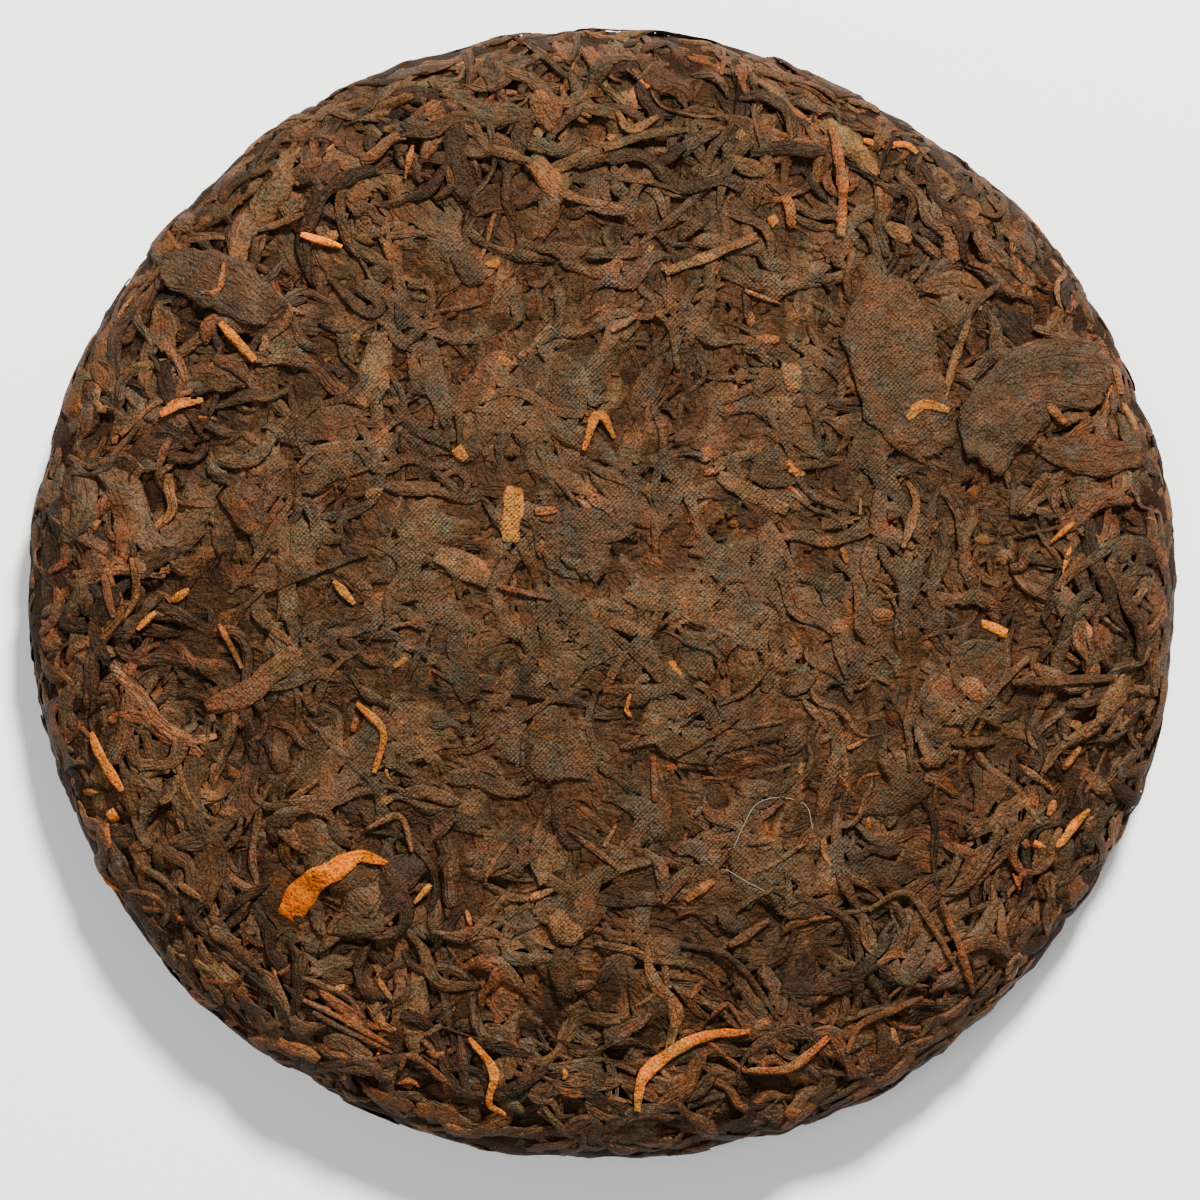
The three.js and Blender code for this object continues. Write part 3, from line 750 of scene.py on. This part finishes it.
def shown_line(points, rough_count, fewest, step):
    """A centre line on the unrolled face, from places seen from above."""
    u, v = face_distance(*np.array(points, float).T)
    rough = through(np.stack([u, v], -1), rough_count)
    return through(rough, max(fewest, int(line_length(rough) / step)))


def lay_shown(bed):
    """The leaves of the lists above, laid last so that each shows whole."""
    for tint, width, blunt, points in SHOWN_BROAD:
        line = shown_line(points, 8, 6, 0.9)
        if width > LARGE_WIDTH:
            colour, folds, own, lift = np.array(tint) * LARGE_SHADE, 4, 0.5, 0.45
        else:
            colour, folds, own, lift = landmark_tint(tint), 1, 0.85, 0.15
        lay_broad(
            bed, line, width, colour, blunt=blunt, folds=folds, own=own, drop=0.4, whole=True, lift=lift,
        )
    lay_broad(
        bed, shown_line(GOLDEN_LEAF, 10, 24, 1.0), GOLDEN_WIDTH, GOLDEN_TINT, kind="bud", blunt=0.22,
        folds=1, own=1.0, drop=0.4, whole=True, narrow=0.72, lift=0.2,
    )
    for tint, width, taper, points in SHOWN_ROLLED:
        kind, lift = ("bud", 0.65) if tint in (GOLD, AMBER) else ("stem", 0.4)
        lay_rolled(
            bed, shown_line(points, 10, 7, 0.8), width, landmark_tint(tint), kind=kind, twist=0.2,
            taper=taper, groove=0.2, flat=0.85, blunt=0.5, own=0.85, whole=True, lift=lift,
        )


def make_fibres(bed):
    """Two fine white hairs that lie on the face."""
    corners, faces = [], []
    for points in HAIRS:
        line = through(points, FIBRE_STEPS)
        u, v = face_distance(line[:, 0], line[:, 1])
        side = side_of(np.stack([u, v], -1))
        ring = 2 * math.pi * np.arange(FIBRE_SIDES) / FIBRE_SIDES
        along_u = u[:, None] + side[:, :1] * FIBRE_RADIUS * np.cos(ring)
        along_v = v[:, None] + side[:, 1:] * FIBRE_RADIUS * np.cos(ring)
        lie = smoothed(pressed_height(bed, u, v, bed.at(u, v)), 4) + FIBRE_LIFT
        height = lie[:, None] + FIBRE_RADIUS * np.sin(ring)[None]
        faces.append(grid_faces(FIBRE_STEPS, FIBRE_SIDES, True)[:, ::-1] + sum(len(c) for c in corners))
        corners.append(skin(along_u, along_v, height, False).reshape(-1, 3))
    make_piece("white_fibres", np.concatenate(corners), np.concatenate(faces), FIBRE)


# --- Pressing: heights above the bed become heights above the cake's skin
def level_bed(bed):
    """Works out how the cloth levels the heap at each place."""
    distance = np.hypot(bed.u, bed.v)
    bed.level = blurred(bed.height, PRESS_BLUR / CELL)
    bed.loose = looseness(distance, np.arctan2(bed.v, bed.u), bed.under)
    bed.side = smooth_step(distance, SHOULDER_FROM, SHOULDER_TO)
    bed.crest = CREST_MIDDLE + (CREST_RIM - CREST_MIDDLE) * bed.loose
    bed.crest = bed.crest + (CREST_GIRTH - CREST_RIM) * bed.side
    bed.gap = GAP_MIDDLE + (GAP_RIM - GAP_MIDDLE) * bed.loose
    bed.sink = SINK_MIDDLE + (SINK_RIM - SINK_MIDDLE) * bed.loose
    bed.spared = SPARED_MIDDLE + SPARED_RIM * bed.loose * (1 - bed.side)


def pressed_height(bed, u, v, height):
    """Where the cloth leaves something that lay at a height of the heap."""
    where = bed.index(u, v)
    over = height - bed.level[where] + bed.sink[where]
    up, down = bed.crest[where], bed.gap[where]
    pressed = np.where(over > 0, up * np.tanh(over / up * 0.6), down * np.tanh(over / down * 0.8))
    pressed = pressed + bed.spared[where] * over
    pressed = pressed + 0.07 * crumple(u, v, 3.2) + 0.1 * crumple(u, v, 11.0)
    return pressed - up * UNDER_SINK if bed.under else pressed


def press(bed):
    """Presses each leaf, marks its visible places, and paints shade on what lies deep in the gaps."""
    level_bed(bed)
    top = bed.height
    near_top = np.maximum.reduce([np.roll(top, shift, axis) for axis in (0, 1) for shift in (-1, 0, 1)])
    for leaf in bed.leaves:
        where = bed.index(leaf.u, leaf.v)
        leaf.pressed = pressed_height(bed, leaf.u, leaf.v, leaf.height) + leaf.lift
        leaf.seen = leaf.height > near_top[where] - BURIED
        leaf.loose = bed.loose[where]
        leaf.press = smooth_step(leaf.pressed, -0.3, 0.05) * (1 - 0.85 * leaf.loose)
        # painted shade: the lower a leaf lies in a gap, the darker it is made
        up_from_gap = smooth_step(leaf.pressed, -0.9 * bed.gap[where], 0.0)
        leaf.shade = leaf.shade * (0.6 + 0.4 * up_from_gap)


def grid_faces(rows, columns, closed):
    """Corners of the squares of a grid, which joins up across its columns if closed."""
    i = np.arange(rows - 1)[:, None]
    j = np.arange(columns if closed else columns - 1)[None]
    a = i * columns + j
    b = i * columns + (j + 1) % columns
    return np.stack([a, b, b + columns, a + columns], -1).reshape(-1, 4)


def leaf_mesh(name, leaves, under, material):
    """One mesh of many leaves, with their colours, painted shade included, and how they run."""
    corners, faces, tints, lays, presses = [], [], [], [], []
    count = 0
    for leaf in leaves:
        rows, columns = leaf.u.shape
        quads = grid_faces(rows, columns, leaf.closed)
        seen = leaf.seen.ravel()
        quads = quads[seen[quads].any(1)]
        if not len(quads):
            continue
        used = np.unique(quads)
        number = np.full(rows * columns, -1)
        number[used] = np.arange(len(used)) + count
        if under != leaf.closed:
            quads = quads[:, ::-1]
        faces.append(number[quads])
        place = skin(leaf.u, leaf.v, leaf.pressed, under).reshape(-1, 3)
        corners.append(place[used])
        u, v = leaf.u.ravel()[used], leaf.v.ravel()[used]
        own = (leaf.own + (1 - leaf.own) * leaf.loose).ravel()[used, None]
        tone = shared_tint(u, v) * (1 - own) + np.log(leaf.tint)[None] * own
        warm = 0.1 * crumple(u, v + 70, 1.8)
        green = 0.03 * crumple(u + 90, v, 4.0)
        tone = tone + np.stack([warm - green, 0.5 * green, -0.9 * warm], -1)
        fade = 0.15 * crumple(u, v, 1.6) + 0.04 * crumple(u + 50, v, 6.0)
        # the painted shade of edges, grooves and gaps joins the random fading here
        fade = fade + np.log(leaf.shade.ravel()[used])
        tints.append(np.clip(np.exp(tone + fade[:, None] * DEEPENING), 0.0003, 0.9))
        lays.append(leaf.lay.reshape(-1, 3)[used])
        presses.append(leaf.press.ravel()[used])
        count += len(used)
    parts = (np.concatenate(part) for part in (corners, faces, tints, lays, presses))
    make_leafy_piece(name, *parts, material)


def make_leafy_piece(name, corners, faces, tints, lays, presses, material):
    """A piece whose material needs each place's tint, coordinates on its leaf and pressing."""
    mesh = make_piece(name, corners, faces, material)
    colour = mesh.attributes.new("tint", "FLOAT_COLOR", "POINT")
    colour.data.foreach_set("color", np.concatenate([tints, np.ones((len(tints), 1))], 1).ravel())
    lay = mesh.attributes.new("lay", "FLOAT_VECTOR", "POINT")
    lay.data.foreach_set("vector", np.asarray(lays, float).ravel())
    pressed = mesh.attributes.new("press", "FLOAT", "POINT")
    pressed.data.foreach_set("value", np.asarray(presses, float))


def make_piece(name, corners, faces, material):
    """One smooth piece of the cake. Returns its mesh."""
    mesh = bpy.data.meshes.new(name)
    mesh.from_pydata(corners.tolist(), [], faces.tolist())
    mesh.polygons.foreach_set("use_smooth", np.ones(len(faces), bool))
    mesh.materials.append(material)
    piece = bpy.data.objects.new(name, mesh)
    bpy.context.scene.collection.objects.link(piece)
    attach(piece, "root")
    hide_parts("tea_cake")
    return mesh


# --- Materials
# Scales of the textures that follow the object, per metre
LUMP_SCALE, SPECK_SCALE, GRAIN_SCALE, DRIFT_SCALE, WANDER_SCALE = 800.0, 2600.0, 1500.0, 600.0, 120.0
# Shares of each in the lightness of a leaf and in its relief
LIGHTNESS, WRINKLE_TONE, LUMP_TONE, SPECK_TONE, CLOTH_TONE, CREASE_SHADE = 1.12, 0.5, 0.9, 3.6, 1.9, 0.35
LEAST_TONE = 0.15
WRINKLE_RELIEF, LUMP_RELIEF, SPECK_RELIEF, GRAIN_RELIEF, CLOTH_RELIEF, CREASE_RELIEF = (
    0.7, 2.0, 0.6, 0.9, 0.7, -0.7,
)
BUMP_DEPTH = 0.3
# How the hue drifts: at rest, with the grain, with wider spots, and under the cloth's print
HUE_LEVEL, GRAIN_HUE, SPOT_HUE, CLOTH_HUE = 0.2, -2.2, 1.8, -0.45
ROW_STRENGTHS = (("X", 0.9), ("Y", 0.55))  # the print shows one way of the weave more than the other


def node_of(tree, kind, **settings):
    """A new node with these properties set."""
    node = tree.nodes.new(kind)
    for name, value in settings.items():
        setattr(node, name, value)
    return node


def plain_material(name, colour, roughness):
    material = bpy.data.materials.new(name)
    material.use_nodes = True
    shader = material.node_tree.nodes["Principled BSDF"]
    shader.inputs["Base Color"].default_value = (*colour, 1)
    shader.inputs["Roughness"].default_value = roughness
    return material


def leaf_material(name, roughness, sheen, wrinkle, crease, weave=1.0, mottle=1.0):
    """Dry tea leaf: its own tint, wrinkles and creases along the leaf and the print of the cloth."""
    material = bpy.data.materials.new(name)
    material.use_nodes = True
    tree = material.node_tree
    tree.nodes.clear()
    out = node_of(tree, "ShaderNodeOutputMaterial")
    shader = node_of(tree, "ShaderNodeBsdfPrincipled")
    tree.links.new(shader.outputs[0], out.inputs[0])
    tint = node_of(tree, "ShaderNodeAttribute", attribute_name="tint")
    lay = node_of(tree, "ShaderNodeAttribute", attribute_name="lay").outputs["Vector"]
    pressed = node_of(tree, "ShaderNodeAttribute", attribute_name="press").outputs["Fac"]
    place = node_of(tree, "ShaderNodeTexCoord").outputs["Object"]

    def noise(vector, scale, detail, distortion=0.0):
        node = node_of(tree, "ShaderNodeTexNoise")
        node.inputs["Scale"].default_value = scale
        node.inputs["Detail"].default_value = detail
        node.inputs["Roughness"].default_value = 0.55
        node.inputs["Distortion"].default_value = distortion
        tree.links.new(vector, node.inputs["Vector"])
        return node.outputs["Fac"]

    def maths(operation, *values, clamp=False):
        node = node_of(tree, "ShaderNodeMath", operation=operation, use_clamp=clamp)
        for socket, value in zip(node.inputs, values):
            if isinstance(value, (int, float)):
                socket.default_value = value
            else:
                tree.links.new(value, socket)
        return node.outputs[0]

    def scaled(vector, amounts):
        node = node_of(tree, "ShaderNodeVectorMath", operation="MULTIPLY")
        node.inputs[1].default_value = amounts
        tree.links.new(vector, node.inputs[0])
        return node.outputs[0]

    def product(a, b, clamp=False):
        return maths("MULTIPLY", a, b, clamp=clamp)

    def less(a, b):
        return maths("SUBTRACT", a, b)

    def centred(value, amount):
        return product(less(value, 0.5), amount)

    def total(*values):
        sum_so_far = values[0]
        for value in values[1:]:
            sum_so_far = maths("ADD", sum_so_far, value)
        return sum_so_far

    # wrinkles run along the leaf, and creases are thin grooves, darkened with painted shade, that wander
    # along it
    wrinkles = noise(scaled(lay, (0.6, 1.2, 1.0)), 1.0, 3.0, 0.8)
    folds = noise(scaled(lay, (0.14, 0.62, 1.0)), 1.0, 0.0, 0.9)
    off_line = maths("ABSOLUTE", less(folds, 0.5))
    free = less(1.0, product(pressed, 0.85))
    ridge = product(off_line, 9.0, clamp=True)
    line = product(less(1.0, ridge), free)
    lumps = noise(place, LUMP_SCALE, 2.0)
    specks = noise(place, SPECK_SCALE, 2.0)

    # the cloth: its threads cross at right angles, nearly halfway between the axes
    turn = node_of(tree, "ShaderNodeMapping")
    turn.inputs["Rotation"].default_value = (0, 0, WEAVE_TURN)
    tree.links.new(place, turn.inputs["Vector"])
    parts = node_of(tree, "ShaderNodeSeparateXYZ")
    tree.links.new(turn.outputs[0], parts.inputs[0])
    rate = 2 * math.pi / (WEAVE_PITCH * MILLIMETRE)
    wander = noise(place, WANDER_SCALE, 1.0)
    sway = total(product(specks, 2.4), centred(wander, 12.0))
    rows = []
    for axis, strength in ROW_STRENGTHS:
        turns = total(product(parts.outputs[axis], rate), sway)
        rows.append(total(1.0 - strength / 2, product(maths("SINE", turns), strength / 2)))
    dots = less(product(*rows), 0.4)
    patchy = product(less(wander, 0.2), 2.4, clamp=True)
    printed = product(product(pressed, patchy), weave)
    grain = noise(place, GRAIN_SCALE, 1.0)
    uneven = product(less(grain, 0.25), 3.2, clamp=True)
    cloth = product(product(dots, printed), uneven)

    # colour: the tint, lighter on wrinkles; the cloth's print lighter on its threads and darker between
    # them, partly dust and partly painted light and shade; and painted shade in creases
    tone = total(
        LIGHTNESS, centred(wrinkles, WRINKLE_TONE), centred(lumps, LUMP_TONE * mottle),
        centred(specks, SPECK_TONE), product(cloth, CLOTH_TONE),
    )
    # painted shade in the creases
    tone = product(tone, less(1.0, product(line, CREASE_SHADE * crease)))
    tone = maths("MAXIMUM", tone, LEAST_TONE)
    spots = noise(place, DRIFT_SCALE, 1.0)
    hue = total(
        HUE_LEVEL, centred(grain, GRAIN_HUE), centred(spots, SPOT_HUE), product(printed, CLOTH_HUE),
    )
    tones = node_of(tree, "ShaderNodeCombineXYZ")
    for socket, power, share in zip(tones.inputs, DEEPENING, HUE_DRIFT):
        drifted = total(1.0, product(hue, share))
        tree.links.new(product(maths("POWER", tone, float(power)), drifted), socket)
    colour = node_of(tree, "ShaderNodeVectorMath", operation="MULTIPLY")
    tree.links.new(tint.outputs["Color"], colour.inputs[0])
    tree.links.new(tones.outputs[0], colour.inputs[1])
    tree.links.new(colour.outputs[0], shader.inputs["Base Color"])
    shader.inputs["Roughness"].default_value = roughness
    shader.inputs["Specular IOR Level"].default_value = sheen

    relief = total(
        product(wrinkles, WRINKLE_RELIEF * wrinkle), product(cloth, CLOTH_RELIEF),
        product(specks, SPECK_RELIEF), product(grain, GRAIN_RELIEF), product(lumps, LUMP_RELIEF),
        product(line, CREASE_RELIEF * crease),
    )
    bump = node_of(tree, "ShaderNodeBump")
    bump.inputs["Strength"].default_value = 1.0
    bump.inputs["Distance"].default_value = BUMP_DEPTH * MILLIMETRE
    tree.links.new(relief, bump.inputs["Height"])
    tree.links.new(bump.outputs[0], shader.inputs["Normal"])
    return material


MATERIALS = {
    "broad": leaf_material("dark_leaf", 0.66, 0.08, 0.9, 0.7),
    "rolled": leaf_material("rolled_leaf", 0.62, 0.09, 1.0, 1.0),
    "bud": leaf_material("pale_bud", 0.78, 0.06, 0.8, 0.15, weave=0.4, mottle=1.4),
    "stem": leaf_material("stem_skin", 0.6, 0.08, 1.1, 0.3, weave=0.7, mottle=1.5),
    "chip": leaf_material("crumb", 0.75, 0.06, 0.8, 0.3),
}
FIBRE = plain_material("fibre", (0.3, 0.26, 0.2), 0.6)


# --- The heap's inside, seen only in the gaps
def make_core():
    """A dark crumpled surface a little inside the leaves, its tint partly painted shade for the gaps."""
    at = np.linspace(CORE_HOLE, SECTION_LENGTH - CORE_HOLE, CORE_RINGS)[:, None]
    angle = 2 * math.pi * np.arange(CORE_SECTORS)[None] / CORE_SECTORS
    top_side = at < SECTION_LENGTH / 2
    distance = np.where(top_side, at, SECTION_LENGTH - at)
    loose = np.where(top_side, looseness(distance, angle, False), looseness(distance, 0, True))
    depth = CORE_DEPTH_MIDDLE + (CORE_DEPTH_RIM - CORE_DEPTH_MIDDLE) * loose
    depth = depth + np.where(top_side, 0, CORE_DEPTH_UNDER)
    shoulder = smooth_step(distance, CORE_SHOULDER_FROM, CORE_SHOULDER_TO)
    depth = depth + (CORE_DEPTH_GIRTH - CORE_DEPTH_RIM) * shoulder
    u = distance * np.cos(angle)
    v = distance * np.sin(angle)
    height = -depth + 0.3 * crumple(u, v, 2.5)
    upper = skin(u, v, height, False)
    lower = skin(u, v, height, True)
    corners = np.where(top_side[..., None], upper, lower).reshape(-1, 3)
    quads = grid_faces(CORE_RINGS, CORE_SECTORS, True)[:, ::-1]
    shade = (0.75 + 0.2 * crumple(u, v, 2.0)).reshape(-1, 1)
    open_heap = loose.reshape(-1, 1)
    # partly the inner leaves' dark colour, partly painted shade for the gaps, blackest where the heap
    # lies open at the rim
    dark = np.array(DARK_BROWN) * (1 - open_heap) + np.array(BLACK_BROWN) * open_heap
    tints = dark * np.maximum(shade, 0.3) ** DEEPENING
    lay = np.stack([u, v, np.zeros_like(u)], -1).reshape(-1, 3)
    presses = np.zeros(len(corners))
    make_leafy_piece("packed_inside", corners, quads, tints, lay, presses, MATERIALS["chip"])


# --- The camera is straight above the cake, with a long lens
def make_camera():
    data = bpy.data.cameras.new("camera")
    camera = bpy.data.objects.new("camera", data)
    bpy.context.scene.collection.objects.link(camera)
    bpy.context.scene.camera = camera
    data.lens = LENS
    data.sensor_width = SENSOR_WIDTH
    camera.location = (*VIEW_MIDDLE, VIEW_WIDTH * LENS / SENSOR_WIDTH + FACE_LEVEL)
    data.clip_start = 0.01


def make_light(name, place, size, power, colour):
    """A round lamp that points at the cake."""
    data = bpy.data.lights.new(name, "AREA")
    data.shape = "DISK"
    data.size = size
    data.energy = power
    data.color = colour
    lamp = bpy.data.objects.new(name, data)
    lamp.location = place
    lamp.rotation_euler = (Vector(LIT_PLACE) - Vector(place)).to_track_quat("-Z", "Y").to_euler()
    bpy.context.scene.collection.objects.link(lamp)


def make_studio():
    mesh = bpy.data.meshes.new("floor")
    far = FLOOR_HALF_WIDTH
    mesh.from_pydata([(-far, -far, 0), (far, -far, 0), (far, far, 0), (-far, far, 0)], [], [(0, 1, 2, 3)])
    mesh.materials.append(plain_material("pale_floor", (0.9, 0.9, 0.9), 0.9))
    floor = bpy.data.objects.new("floor", mesh)
    bpy.context.scene.collection.objects.link(floor)
    world = bpy.data.worlds.new("studio")
    bpy.context.scene.world = world
    world.use_nodes = True
    background = world.node_tree.nodes["Background"]
    background.inputs["Color"].default_value = (1, 1, 1, 1)
    background.inputs["Strength"].default_value = WORLD_STRENGTH
    make_light("key", (0.25, 0.8, 0.85), 0.2, 56, (1, 0.98, 0.95))
    make_light("fill", (-0.3, -0.2, 1.3), 0.9, 10, (1, 1, 1))


def group_of(leaf):
    """The piece that a leaf belongs to: its kind and, for large leaves, its colour."""
    if leaf.kind not in ("broad", "rolled"):
        return leaf.kind
    if leaf.tint[0] < DARK_BELOW:
        return leaf.kind + "_dark"
    return leaf.kind + ("_grey" if leaf.tint[0] < GREY_BELOW * leaf.tint[2] else "_brown")


def build():
    make_camera()
    make_studio()
    top = Bed(under=False)
    lay_by_rule(top, 1.0)
    lay_shown(top)
    press(top)
    bottom = Bed(under=True)
    lay_by_rule(bottom, UNDERSIDE_SHARE)
    press(bottom)
    make_core()
    make_fibres(top)
    for group in sorted({group_of(leaf) for leaf in top.leaves + bottom.leaves}):
        for side, bed in (("face", top), ("underside", bottom)):
            chosen = [leaf for leaf in bed.leaves if group_of(leaf) == group]
            if chosen:
                leaf_mesh(f"{side}_{group}_leaves", chosen, bed.under, MATERIALS[group.split("_")[0]])


build()
